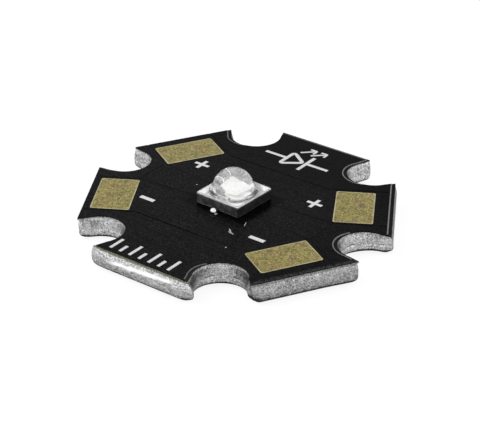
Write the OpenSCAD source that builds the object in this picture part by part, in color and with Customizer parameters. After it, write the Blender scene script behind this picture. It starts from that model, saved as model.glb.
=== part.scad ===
// Star-shaped metal-core circuit board with one ceramic power led soldered at its middle.
// The origin is the middle of the board's underside, +Z is the way the light leaves,
// and the six screw notches lie at 0, 60, 120 ... 300 degrees from +X.

/* [Board] */
// Distance across the six flats
across_flats = 20; // [19:0.5:23]
// Thickness of the aluminium core
core_t = 1.5; // [1:0.1:2]
// Thickness of the insulating layer on the core
insulation_t = 0.08; // [0.06:0.01:0.12]
// Thickness of the etched copper
copper_t = 0.05; // [0.035:0.005:0.07]
// Thickness of the black mask over the copper
mask_t = 0.03; // [0.03:0.005:0.05]

/* [Screw notches] */
// Radius of the round end of each notch
notch_r = 1.74; // [1.6:0.02:1.9]
// Distance from the hexagon's corner in to the centre of each round end
notch_inset = 1.82; // [1.6:0.02:2.05]
// Angle by which each side of a notch opens towards its mouth
notch_flare = 10; // [4:1:14]

/* [Punched edge] */
// How far the sheared side swells out past the board's top edge
swell = 0.16; // [0.05:0.01:0.2]
// Height at which the side is widest
swell_h = 0.75; // [0.55:0.05:0.95]
// Height of the rolled foot
foot_h = 0.16; // [0.08:0.02:0.26]
// How far the foot is rolled in at the underside
foot_in = 0.26; // [0.16:0.02:0.4]
// Height to which the twelve sharp corners are rolled
corner_h = 0.5; // [0.3:0.05:0.7]
// How far each corner is rolled in at the underside
corner_in = 0.25; // [0.1:0.05:0.5]
// Width of the mask that the punch drags down over the copper's cut edge
edge_drag = 0.04; // [0.02:0.01:0.06]

/* [Artwork] */
// Slip of the copper and mask artwork along X against the punched outline
slip_x = -0.3; // [-0.4:0.02:0.2]
// Slip of the artwork along Y against the punched outline
slip_y = -0.24; // [-0.4:0.02:0.2]
// How far the drawn copper runs past the drawn outline
copper_bleed = 0.05; // [0:0.01:0.1]
// Width of the etched gaps between the copper areas
etch_gap = 0.25; // [0.2:0.01:0.3]
// How far the mask creeps into the etched gaps from each side
mask_creep = 0.08; // [0.06:0.01:0.09]
// Distance of the gaps in front of and behind the supply areas from the flats
fill_depth = 5; // [4.8:0.1:5.3]
// Distance of the gaps at the two ends of the thermal strip from the notches there
end_depth = 1.08; // [0.9:0.02:1.4]

/* [Wire pads] */
// Distance from a flat in to the middle of the pad beside it
pad_inset = 2.15; // [2:0.05:2.4]
// Size of a pad along the radius
pad_depth = 2.6; // [2.2:0.1:2.8]
// Distance from each end of a pad to the end of the flat beside it
pad_end = 1.52; // [1.46:0.02:1.8]
// Radius of a pad's corners
pad_round = 0.15; // [0.05:0.05:0.4]
// Copper that runs under the mask round a pad
pad_land = 0.08; // [0.06:0.01:0.12]
// Thickness of the gold finish on a pad
gold_t = 0.025; // [0.02:0.005:0.03]
// Gap between the gold finish and the mask round it
gold_gap = 0.02; // [0.01:0.01:0.04]

/* [Led package] */
// Side of the square ceramic body
body_w = 3.45; // [3.3:0.05:3.6]
// Thickness of the ceramic
body_t = 0.65; // [0.5:0.05:0.8]
// Place of the package along X from the artwork's middle
body_x = 0.03; // [-0.1:0.01:0.1]
// Place of the package along Y from the artwork's middle
body_y = -0.01; // [-0.1:0.01:0.1]
// Turn of the package about its own axis, left as it set in the solder
body_turn = -2.3; // [-4:0.1:4]
// Margin at each end of the three contacts under the body
land_end = 0.125; // [0.08:0.005:0.25]
// Width of the two supply contacts
land_w = 0.5; // [0.4:0.05:0.6]
// Margin between each supply contact and the body's side
land_side = 0.075; // [0.05:0.005:0.12]
// Width of the thermal contact
thermal_w = 1.3; // [1.1:0.05:1.4]
// Thickness of the metal under and on top of the ceramic
metal_t = 0.035; // [0.03:0.005:0.05]
// Margin of the top metal inside the ceramic's edge
metal_margin = 0.1; // [0.05:0.01:0.15]
// Gap between the two areas of top metal
metal_gap = 0.14; // [0.1:0.01:0.2]
// Radius of the round window in the top metal that marks the minus side
mark_r = 0.1; // [0.06:0.01:0.12]
// Distance of that window's middle from the body's front side
mark_inset = 0.4; // [0.34:0.01:0.46]
// Length of the slanted slit beside the window
slit_l = 0.6; // [0.4:0.05:0.7]
// Place of the slit along X
slit_x = 0.82; // [0.7:0.02:0.9]
// Width of the slit
slit_w = 0.08; // [0.05:0.01:0.1]
// Slant of the slit, in degrees from the package's front side
slit_turn = -26; // [-35:1:-15]
// Width across the vertical feed through the ceramic
feed_w = 0.22; // [0.16:0.02:0.26]
// Distance of each feed from the middle of its contact
feed_x = 1.1; // [0.8:0.05:1.3]

/* [Chip and wires] */
// Side of the square light-emitting chip
chip_w = 1.3; // [1.2:0.05:1.4]
// Thickness of the light-emitting chip
chip_t = 0.15; // [0.1:0.01:0.2]
// Place of the middle between the two bond wires along Y
wire_y = 0.3; // [0.1:0.02:0.34]
// Distance between the two bond wires
wire_gap = 0.5; // [0.4:0.02:0.54]
// Thickness of a bond wire
wire_t = 0.03; // [0.025:0.005:0.045]
// Height of a bond wire's loop over the chip
wire_rise = 0.26; // [0.16:0.02:0.3]
// Height of the protection chip's own wire over that chip
guard_rise = 0.1; // [0.06:0.01:0.12]
// Distance from the inner edge of the plus metal to where a wire comes down on it
wire_in = 0.05; // [0.04:0.01:0.1]
// Length of the foot that each wire has on the metal
wire_foot = 0.16; // [0.1:0.02:0.24]
// Side of the small protection chip
guard_w = 0.26; // [0.2:0.02:0.3]
// Thickness of the protection chip
guard_t = 0.12; // [0.1:0.01:0.15]
// Place of the protection chip along X
guard_x = 0.84; // [0.8:0.01:0.86]
// Place of the protection chip along Y
guard_y = 0.6; // [0.4:0.02:0.66]

/* [Lens] */
// Radius of the clear dome
dome_r = 1.38; // [1.2:0.02:1.42]
// Radius of the ring at the dome's foot
ring_r = 1.55; // [1.5:0.01:1.6]
// Height of that ring over the clear film
ring_h = 0.12; // [0.08:0.02:0.2]
// Thickness of the clear film over the top metal
film_t = 0.05; // [0.05:0.01:0.08]

/* [Solder] */
// Thickness of the solder between copper and package
solder_t = 0.06; // [0.05:0.01:0.09]
// Margin of the mask openings round the solder
solder_gap = 0.05; // [0.03:0.01:0.07]
// Radius of the bead squeezed out in front of the package
bead_r = 0.25; // [0.15:0.01:0.28]
// Place of the bead along the package's front side
bead_x = 0; // [-0.8:0.02:0.8]
// Distance of the bead's middle from that side
bead_out = 0.34; // [0.1:0.02:0.4]

/* [Hidden] */
$fn = 64;

// Heights of the stack, each from the one below
insulation_z = core_t;
copper_z = insulation_z + insulation_t;
copper_top = copper_z + copper_t;
mask_top = copper_top + mask_t;
contact_z = copper_top + solder_t;
body_z = contact_z + metal_t;
body_top = body_z + body_t;
metal_top = body_top + metal_t;
film_top = metal_top + film_t;
dome_z = film_top + ring_h;

// The outline's directions: a corner of the hexagon every 60 degrees, a flat half-way between
corner_step = 60;
half_step = corner_step / 2;
notch_count = 6;
pad_angles = [half_step, 180 - half_step, 180 + half_step, -half_step];
reach = across_flats;
cut_over = 1;
blank = cut_over / 2;
notch_centre = across_flats / 2 / cos(half_step) - notch_inset;
pad_centre = across_flats / 2 - pad_inset;
pour_y = across_flats / 2 - fill_depth;
strip_end = notch_centre - notch_r - end_depth;

// Where a flat meets the flared side of a notch, with the notch along +X
flare_run = (across_flats / 2 - notch_centre * cos(half_step) - notch_r * sin(half_step))
    / cos(half_step - notch_flare);
corner_point = [notch_centre + flare_run * cos(notch_flare), notch_r + flare_run * sin(notch_flare)];
corner_turn = (notch_flare + half_step) / 2 + 45;
flat_half = corner_point.x * sin(half_step) - corner_point.y * cos(half_step);
pad_w = 2 * (flat_half - pad_end);

// How far the punched side lies in from the top edge at each height, from the underside up
side_profile = [[foot_in, 0], [0, foot_h], [-swell, swell_h], [0, core_t], [0, core_t + cut_over]];
corner_swell = swell / sin((90 + notch_flare - half_step) / 2);
corner_profile = [[corner_in, 0], [-corner_swell, corner_h]];

// Centre lines of the etched gaps, in the artwork's own frame
gap_side = pad_w / 2 + pad_land + etch_gap / 2;
strip_y = (strip_end - gap_side * sin(half_step)) * tan(half_step) - gap_side * cos(half_step);
pour_x = (pour_y - gap_side * cos(half_step)) / tan(half_step) - gap_side * sin(half_step);
far_pad = reach * [cos(half_step), sin(half_step)];
gap_shift = gap_side * [sin(half_step), -cos(half_step)];
far_side = far_pad + gap_shift;
far_back = far_pad - gap_shift;
land_l = body_w - 2 * land_end;
land_y = body_w / 2 - land_side - land_w / 2;
land_inner = land_y - land_w / 2;
under_y = (thermal_w / 2 + land_inner) / 2;
under_h = land_inner - thermal_w / 2;
under_x = land_l / 2 + etch_gap;

// The boundary between the thermal strip and the supply area behind it, from left to right
strip_line = [[-strip_end, strip_y], [-under_x, under_y], [under_x, under_y], [strip_end, strip_y]];
back_line = [[-far_back.x, far_back.y], [-pour_x, pour_y], [pour_x, pour_y], far_back];
side_line = [far_side, [strip_end, strip_y], [strip_end, -strip_y], [far_side.x, -far_side.y]];

// The plus metal on top is an L: one leg at the left, which the bond wires reach, and one at the back
metal_half = body_w / 2 - metal_margin;
leg_in = metal_half - land_w;
mark_y = body_w / 2 - mark_inset;

// How far the lens's hollows for the wires run into the metal and the chips that the wires stand on
wire_sink = metal_t / 2;

function flipped(points) = [for (p = points) [p.x, -p.y]];
function reversed(points) = [for (i = [len(points) - 1 : -1 : 0]) points[i]];
function left_of(from, to) = let (run = (to - from) / norm(to - from)) [-run.y, run.x];

// A line of points moved sideways by d, to the left of its run
function beside(points, d) = let (last = len(points) - 1) [
    for (i = [0 : last])
        let (
            before = left_of(points[max(i - 1, 0)], points[max(i, 1)]),
            after = left_of(points[min(i, last - 1)], points[min(i + 1, last)])
        )
        points[i] + d * (before + after) / (1 + before * after)
];

module at_artwork() translate([slip_x, slip_y, 0]) children();

module at_led() at_artwork() translate([body_x, body_y, 0]) rotate(body_turn) children();

module around_notches() for (k = [0 : notch_count - 1]) rotate(k * corner_step) children();

// The star outline, drawn larger or smaller by grow
module star(grow = 0) {
    difference() {
        circle(r = (across_flats / 2 + grow) / cos(half_step), $fn = notch_count);
        around_notches() translate([notch_centre, 0]) {
            circle(r = notch_r - grow);
            polygon([
                [0, notch_r - grow], [0, grow - notch_r],
                [reach, grow - notch_r - reach * tan(notch_flare)],
                [reach, notch_r - grow + reach * tan(notch_flare)]
            ]);
        }
    }
}

// What the punch takes away beside a straight wall: the wall runs along +X, the metal is at +Y
module side_cut(profile, length) {
    foot = profile[0];
    top = profile[len(profile) - 1];
    rotate([90, 0, 90]) linear_extrude(length)
        polygon(concat([[-cut_over, -cut_over], [foot.x, -cut_over]], profile, [[-cut_over, top.y]]));
}

// The same round the inner end of a notch
module round_cut(profile) {
    foot = profile[0];
    top = profile[len(profile) - 1];
    rotate_extrude()
        polygon(concat(
            [[0, -cut_over], [notch_r + foot.x, -cut_over]],
            [for (p = profile) [notch_r + p.x, p.y]],
            [[0, top.y]]
        ));
}

module notch_cut() {
    translate([notch_centre, 0, 0]) {
        round_cut(side_profile);
        for (side = [0, 1]) mirror([0, side, 0])
            translate([0, notch_r, 0]) rotate(notch_flare) side_cut(side_profile, reach);
    }
    for (side = [0, 1]) mirror([0, side, 0])
        translate([corner_point.x, corner_point.y, 0]) rotate(corner_turn)
            translate([-cut_over, 0, 0]) side_cut(corner_profile, 2 * cut_over);
}

module flat_cut() {
    rotate(half_step) translate([across_flats / 2, -reach / 2, 0]) rotate(90) side_cut(side_profile, reach);
}

// The core is cut from a slightly larger blank, so that its whole side has the punched profile
module base_plate() {
    color([0.72, 0.72, 0.73]) difference() {
        linear_extrude(core_t) star(blank);
        around_notches() {
            notch_cut();
            flat_cut();
        }
    }
}

module insulation_layer() {
    color([0.45, 0.45, 0.36]) translate([0, 0, insulation_z]) linear_extrude(insulation_t) star();
}

// A band of width w along a line of points, mitred where it turns
module band(points, w) {
    polygon(concat(beside(points, w / 2), reversed(beside(points, -w / 2))));
}

// The etched lines between the copper areas, away from the package
module gap_lines(w) {
    for (back = [0, 1]) mirror([0, back]) {
        band(strip_line, w);
        band(back_line, w);
    }
    for (left = [0, 1]) mirror([left, 0]) band(side_line, w);
}

// All that is etched away, with the two wider gaps between the contacts
module gaps() {
    gap_lines(etch_gap);
    for (side = [-1, 1]) translate([0, side * under_y]) square([2 * under_x, under_h], center = true);
}

// The copper inside one boundary, trimmed by the punched outline
module copper_area(boundary) {
    color([0.72, 0.45, 0.3]) translate([0, 0, copper_z]) linear_extrude(copper_t) difference() {
        intersection() {
            star(-edge_drag);
            at_artwork() star(copper_bleed);
            at_artwork() polygon(boundary);
        }
        at_artwork() gaps();
    }
}

supply_area = concat(
    strip_line, [far_side], reversed(back_line), [[-far_side.x, far_side.y]]
);
fill_area = concat(back_line, [[far_back.x, reach], [-far_back.x, reach]]);
end_area = side_line;

module copper_plus() copper_area(supply_area);
module copper_minus() copper_area(flipped(supply_area));
module copper_thermal() copper_area(concat(strip_line, reversed(flipped(strip_line))));
module copper_fill_back() copper_area(fill_area);
module copper_fill_front() copper_area(flipped(fill_area));
module copper_fill_right() copper_area(end_area);
module copper_fill_left() copper_area([for (p = end_area) [-p.x, p.y]]);

module pad_shape(shrink = 0) {
    r = pad_round - shrink;
    w = [pad_depth / 2 - pad_round, pad_w / 2 - pad_round];
    translate([pad_centre, 0]) {
        square([pad_depth - 2 * shrink, 2 * w.y], center = true);
        square([2 * w.x, pad_w - 2 * shrink], center = true);
        for (i = [-1, 1], j = [-1, 1]) translate([i * w.x, j * w.y]) circle(r = r);
    }
}

// The three contact areas under the package: one wide, two narrow
module land_shape(y, w, grow = 0) {
    translate([0, y]) square([land_l + 2 * grow, w + 2 * grow], center = true);
}

module mask_openings() {
    for (a = pad_angles) rotate(a) pad_shape();
    translate([body_x, body_y]) {
        land_shape(0, thermal_w, solder_gap);
        for (side = [-1, 1]) land_shape(side * land_y, land_w, solder_gap);
    }
}

// The mask fills the etched gaps and covers the copper, so it dips over each gap
module solder_mask() {
    color([0.12, 0.12, 0.12]) {
        translate([0, 0, copper_z]) linear_extrude(copper_t) difference() {
            star();
            difference() {
                intersection() {
                    star(-edge_drag);
                    at_artwork() star(copper_bleed);
                }
                at_artwork() gaps();
            }
        }
        translate([0, 0, copper_top]) linear_extrude(mask_t) difference() {
            intersection() {
                star();
                at_artwork() star(copper_bleed + mask_creep);
            }
            at_artwork() {
                gap_lines(etch_gap - 2 * mask_creep);
                mask_openings();
            }
        }
    }
}

module wire_pad(angle) {
    color([0.62, 0.55, 0.33]) at_artwork() rotate(angle)
        translate([0, 0, copper_top]) linear_extrude(gold_t) pad_shape(gold_gap);
}

module wire_pad_plus_right() wire_pad(pad_angles[0]);
module wire_pad_plus_left() wire_pad(pad_angles[1]);
module wire_pad_minus_left() wire_pad(pad_angles[2]);
module wire_pad_minus_right() wire_pad(pad_angles[3]);

module solder(y, w) {
    at_artwork() translate([body_x, body_y, copper_top]) linear_extrude(solder_t) land_shape(y, w);
}

module solder_plus() color([0.76, 0.76, 0.78]) solder(land_y, land_w);
module solder_thermal() color([0.76, 0.76, 0.78]) solder(0, thermal_w);

// The minus joint has a round bead squeezed out over the mask, on a thin tongue from under the ceramic
module solder_minus() {
    bead_y = -body_w / 2 - bead_out;
    color([0.76, 0.76, 0.78]) {
        solder(-land_y, land_w);
        at_led() difference() {
            union() {
                translate([bead_x, bead_y, mask_top + bead_r / 3]) sphere(r = bead_r);
                translate([bead_x - bead_r / 2, bead_y, mask_top])
                    cube([bead_r, -land_y - bead_y, contact_z - mask_top]);
            }
            translate([-reach / 2, -reach / 2, mask_top - reach]) cube([reach, reach, reach]);
            translate([-reach / 2, -body_w / 2, contact_z]) cube([reach, body_w, reach]);
        }
    }
}

module contact(y, w) {
    color([0.78, 0.7, 0.45]) at_led() translate([0, 0, contact_z]) linear_extrude(metal_t) land_shape(y, w);
}

module contact_plus() contact(land_y, land_w);
module contact_minus() contact(-land_y, land_w);
module contact_thermal() contact(0, thermal_w);

// Two eight-sided feeds carry each supply from its contact through the ceramic
module feed_columns(side) {
    for (i = [-1, 1]) translate([i * feed_x, side * land_y, body_z])
        cylinder(h = body_t, d = feed_w, $fn = 8);
}

module feeds_plus() color([0.78, 0.7, 0.45]) at_led() feed_columns(1);
module feeds_minus() color([0.78, 0.7, 0.45]) at_led() feed_columns(-1);

module ceramic_body() {
    color([0.33, 0.33, 0.34]) at_led() difference() {
        translate([-body_w / 2, -body_w / 2, body_z]) cube([body_w, body_w, body_t]);
        feed_columns(1);
        feed_columns(-1);
    }
}

module plus_legs() {
    translate([0, 0, body_top]) linear_extrude(metal_t) difference() {
        square(2 * metal_half, center = true);
        translate([-leg_in, -body_w]) square([2 * body_w, body_w + leg_in]);
    }
}

module minus_plane() {
    inner = leg_in - metal_gap;
    translate([0, 0, body_top]) linear_extrude(metal_t) difference() {
        translate([-inner, -metal_half]) square(metal_half + inner);
        translate([0, -mark_y]) circle(r = mark_r);
        translate([slit_x, -mark_y]) rotate(slit_turn) square([slit_l, slit_w], center = true);
    }
}

module top_metal_plus() color([0.86, 0.86, 0.87]) at_led() plus_legs();
module top_metal_minus() color([0.86, 0.86, 0.87]) at_led() minus_plane();

module chip_block() translate([-chip_w / 2, -chip_w / 2, metal_top]) cube([chip_w, chip_w, chip_t]);

module guard_block() {
    translate([guard_x - guard_w / 2, guard_y - guard_w / 2, metal_top]) cube([guard_w, guard_w, guard_t]);
}

// A wire looped along +X, from the top of a chip down to a leg of the plus metal
module wire_loop(from_x, from_z, rise, sink) {
    touch_x = leg_in + wire_in;
    low = metal_top + wire_t / 2;
    loop = [
        [from_x, from_z - sink], [from_x, from_z + rise], [from_x + rise, from_z + rise],
        [touch_x, low], [touch_x + wire_foot, low]
    ];
    translate([0, wire_t / 2, 0]) rotate([90, 0, 0]) linear_extrude(wire_t) {
        band(loop, wire_t);
        translate([touch_x, metal_top - sink]) square([wire_foot, sink + wire_t / 2]);
    }
}

module chip_loops(sink = 0) {
    for (side = [-1, 1]) translate([0, wire_y + side * wire_gap / 2, 0])
        rotate(180) wire_loop(chip_w / 2 - wire_t * 2, metal_top + chip_t, wire_rise, sink);
}

module guard_loop(sink = 0) {
    translate([guard_x, 0, 0]) rotate(90) wire_loop(guard_y, metal_top + guard_t, guard_rise, sink);
}

module led_chip() color([0.2, 0.24, 0.3]) at_led() chip_block();
module guard_chip() color([0.15, 0.15, 0.16]) at_led() guard_block();
module bond_wires() color([0.85, 0.7, 0.35]) at_led() chip_loops();
module guard_wire() color([0.85, 0.7, 0.35]) at_led() guard_loop();

// One clear moulding: a film over the whole top, a ring and the dome, closed round what it covers
module lens() {
    color([0.9, 0.92, 0.94, 0.4]) at_led() difference() {
        union() {
            translate([-body_w / 2, -body_w / 2, body_top]) cube([body_w, body_w, film_top - body_top]);
            translate([0, 0, metal_top]) rotate_extrude() {
                square([ring_r, dome_z - metal_top]);
                translate([0, dome_z - metal_top]) intersection() {
                    circle(r = dome_r);
                    square(dome_r);
                }
            }
        }
        plus_legs();
        minus_plane();
        chip_block();
        guard_block();
        chip_loops(wire_sink);
        guard_loop(wire_sink);
    }
}

base_plate();
insulation_layer();
copper_plus();
copper_minus();
copper_thermal();
copper_fill_back();
copper_fill_front();
copper_fill_left();
copper_fill_right();
solder_mask();
wire_pad_plus_right();
wire_pad_plus_left();
wire_pad_minus_left();
wire_pad_minus_right();
solder_plus();
solder_minus();
solder_thermal();
contact_plus();
contact_minus();
contact_thermal();
ceramic_body();
feeds_plus();
feeds_minus();
top_metal_plus();
top_metal_minus();
led_chip();
guard_chip();
bond_wires();
guard_wire();
lens();
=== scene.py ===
from math import asin, copysign, cos, hypot, pi, radians, sin

import bmesh
import bpy
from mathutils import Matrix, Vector, noise


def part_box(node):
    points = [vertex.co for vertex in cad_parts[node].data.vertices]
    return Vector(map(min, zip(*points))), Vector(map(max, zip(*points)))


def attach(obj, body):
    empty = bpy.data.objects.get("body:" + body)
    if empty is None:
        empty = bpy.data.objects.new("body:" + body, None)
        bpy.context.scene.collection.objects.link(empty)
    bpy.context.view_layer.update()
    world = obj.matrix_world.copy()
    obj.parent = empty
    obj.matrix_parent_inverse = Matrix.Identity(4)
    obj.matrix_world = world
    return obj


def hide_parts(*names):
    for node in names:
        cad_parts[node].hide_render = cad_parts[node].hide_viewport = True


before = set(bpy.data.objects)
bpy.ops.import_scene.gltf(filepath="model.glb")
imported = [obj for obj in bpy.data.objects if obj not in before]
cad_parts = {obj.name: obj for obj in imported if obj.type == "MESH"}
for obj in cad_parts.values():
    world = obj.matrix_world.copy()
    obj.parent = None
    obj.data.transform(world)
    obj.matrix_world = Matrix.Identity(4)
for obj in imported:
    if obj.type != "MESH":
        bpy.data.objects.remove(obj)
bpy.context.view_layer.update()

mm = 0.001
turnStep = radians(60)  # from one notch to the next
halfStep = turnStep / 2


# Heights and places from the frame, in millimetres
def topOf(node):
    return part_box(node)[1].z / mm


def footOf(node):
    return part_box(node)[0].z / mm


def middleOf(node):
    low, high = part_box(node)
    return (low.x + high.x) / 2 / mm, (low.y + high.y) / 2 / mm


def turned(x, y, angle):
    return x * cos(angle) - y * sin(angle), x * sin(angle) + y * cos(angle)


# An outline's points, turned and shifted
def placedAt(outline, angle=0.0, middle=(0, 0)):
    return [(x + middle[0], y + middle[1]) for x, y in [turned(*point, angle) for point in outline]]


def raised(outline, z):
    return [(x, y, z) for x, y in outline]


def stretch(start, end, count):
    return [start.lerp(end, i / count) for i in range(count + 1)]


# A curve from start to end that leaves and arrives towards the corner
def bend(start, corner, end, count):
    steps = [i / count for i in range(count + 1)]
    return [start.lerp(corner, t).lerp(corner.lerp(end, t), t) for t in steps]


maskTop = topOf("solder_mask")
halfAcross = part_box("insulation_layer")[1].y / mm  # half the distance across the flats, at the top edge

# The led package was soldered on a little aside and askew
packageMiddle = middleOf("ceramic_body")
packageTurn = radians(-2.3)


def atPackage(x, y, z):
    px, py = turned(x, y, packageTurn)
    return px + packageMiddle[0], py + packageMiddle[1], z


# Node helpers, shared by the materials and the geometry trees; they add to the tree that was started last
trees = []


def feed(node, inputs):
    for key, value in inputs.items():
        socket = node.inputs[key]
        if isinstance(value, bpy.types.Node):
            value = value.outputs[0]
        if isinstance(value, bpy.types.NodeSocket):
            trees[-1].links.new(value, socket)
        else:
            socket.default_value = value


def addNode(kind, inputs=None, **settings):
    made = trees[-1].nodes.new(kind)
    for name, value in settings.items():
        setattr(made, name, value)
    feed(made, inputs or {})
    return made


def calc(operation, *values, clamp=False):
    made = addNode("ShaderNodeMath", dict(enumerate(values)), operation=operation, use_clamp=clamp)
    return made.outputs[0]


def times(one, other):
    return calc("MULTIPLY", one, other)


def plus(one, other):
    return calc("ADD", one, other)


def minus(one, other, clamp=False):
    return calc("SUBTRACT", one, other, clamp=clamp)


# A sum on vectors, or what it measures
def vector(operation, *values, **more):
    made = addNode("ShaderNodeVectorMath", {**dict(enumerate(values)), **more}, operation=operation)
    return made.outputs["Value" if operation in ("LENGTH", "DISTANCE", "DOT_PRODUCT") else "Vector"]


def axesOf(place):
    return addNode("ShaderNodeSeparateXYZ", {0: place}).outputs[:]


def grain(place, size, detail=2.0, rough=0.5):
    return addNode("ShaderNodeTexNoise",
                   {"Vector": place, "Scale": 1 / size, "Detail": detail, "Roughness": rough}).outputs[0]


def remap(value, low, high, toLow=0.0, toHigh=1.0, soft=False):
    return addNode("ShaderNodeMapRange",
                   {"Value": value, "From Min": low, "From Max": high, "To Min": toLow, "To Max": toHigh},
                   interpolation_type="SMOOTHSTEP" if soft else "LINEAR").outputs[0]


# A grain's usual span, spread from one value to another
def spread(value, low=0.0, high=1.0):
    return remap(value, 0.3, 0.7, low, high)


def fall(value, low, high, soft=False):
    return remap(value, low, high, 1.0, 0.0, soft)


# Material helpers
def shade(value):
    return (value, value, value, 1) if isinstance(value, (int, float)) else (*value, 1)


def ramp(factor, *stops):
    made = addNode("ShaderNodeValToRGB", {"Fac": factor})
    bar = made.color_ramp
    bar.elements.remove(bar.elements[1])
    for i, (place, value) in enumerate(stops):
        stop = bar.elements[0] if i == 0 else bar.elements.new(place)
        stop.position = place
        stop.color = shade(value)
    return made.outputs[0]


# Three tones about the middle of a grain
def threeTones(factor, tones, reach=0.12):
    return ramp(factor, *zip((0.5 - reach, 0.5, 0.5 + reach), tones))


def blend(factor, one, other, how="MIX"):
    made = addNode("ShaderNodeMix", {"Factor": factor}, data_type="RGBA", blend_type=how)
    for index, value in ((6, one), (7, other)):
        feed(made, {index: value if isinstance(value, bpy.types.NodeSocket) else shade(value)})
    return made.outputs[2]


def tint(base, other, factor=1.0):
    return blend(factor, base, other, "MULTIPLY")


def between(factor, one, other):
    return addNode("ShaderNodeMix", {0: factor, 2: one, 3: other}, data_type="FLOAT").outputs[0]


def bump(height, depth, under=None):
    made = addNode("ShaderNodeBump", {"Height": height, "Distance": depth * mm, "Strength": 1.0})
    if under is not None:
        feed(made, {"Normal": under})
    return made.outputs[0]


def objectPlace(stretch=(1, 1, 1), turn=0.0):
    place = addNode("ShaderNodeTexCoord").outputs["Object"]
    scale = [s / mm for s in stretch]
    return addNode("ShaderNodeMapping",
                   {"Vector": place, "Rotation": (0, 0, turn), "Scale": scale}).outputs[0]


# How far a point lies out towards this angle, in millimetres
def outTowards(angle):
    return vector("DOT_PRODUCT", objectPlace(), (cos(angle), sin(angle), 0))


def attribute(name):
    return addNode("ShaderNodeAttribute", attribute_name=name).outputs["Fac"]


def openTree(owner):
    owner.use_nodes = True
    trees.append(owner.node_tree)
    return owner


def newMaterial(name, fixed):
    material = openTree(bpy.data.materials.new(name))
    feed(material.node_tree.nodes["Principled BSDF"], fixed)
    return material


def paint(material, base, rough=None, normal=None, **more):
    inputs = {"Base Color": base, "Roughness": rough, "Normal": normal, **more}
    given = {key: value for key, value in inputs.items() if value is not None}
    feed(material.node_tree.nodes["Principled BSDF"], given)
    return material


wornFlat = radians(-30)  # its edge is rubbed grey

aluminiumLook = {
    "grainSize": 0.12,  # mm
    "fineGrain": 0.07,
    "dragged": (7, 7, 1.2),  # how the punch's marks and the layers stretch, per mm
    "layered": (1.3, 1.3, 11),
    "pit": 0.06,
    "dark": 0.27,
    "light": 0.52,
    "speck": 0.98,
    "stops": (0.38, 0.46, 0.53, 0.64),  # where in the grain these tones lie
    # Size and detail of broader patches, from where to where in them, how strong there, and the tone
    "patches": ((0.9, 3.0, 0.35, 0.65, 0.0, 0.4, "light"), (0.3, 2.0, 0.55, 0.75, 0.0, 0.3, "pit")),
    "blotches": (1, 1, 1.8),
    "blotchTurn": radians(20),
    # painted glints: bright specks on the upper half of the front flat
    "paintedGlints": (1, 1, 1.6),
    "paintedGlintLevel": (0.85, 1.15, 0.0, 0.6),
    # painted highlight: tone of the burnished band and of the glints on the front flat
    "burnishAndHighlight": 1.0,
    "glancing": 0.3,  # grainy metal seen along its face stays grey
    "shade": (0.718, 1.28),  # painted shade: tone at the foot and at the top edge
    "sideShade": 0.67,  # painted shade: tone of the side that lies away from the light
    "sideShadeAngle": radians(-48),
    "sideShadeSpan": (6.8, 9.0),  # mm towards that angle
    # painted shade and light: own tones on the worn and on the front flat
    "wornSideShade": 0.82,
    "frontSideShade": 1.08,
    "bruised": (0.9, 1.25),  # tone of whole and of torn metal
    "roughness": (0.34, 0.5),
    "olive": (0.17, 0.165, 0.12),
    "oliveDepth": (0.16, 0.04),  # mm below the top edge, on the front flat
    "footShadowHeight": 0.35,  # mm of painted shadow along the foot
    "wornFootShadowHeight": 0.44,
    "footShadowTone": 0.035,
    "footShadowShare": 0.97,
    "raggedBy": 0.06,  # mm
}


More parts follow.
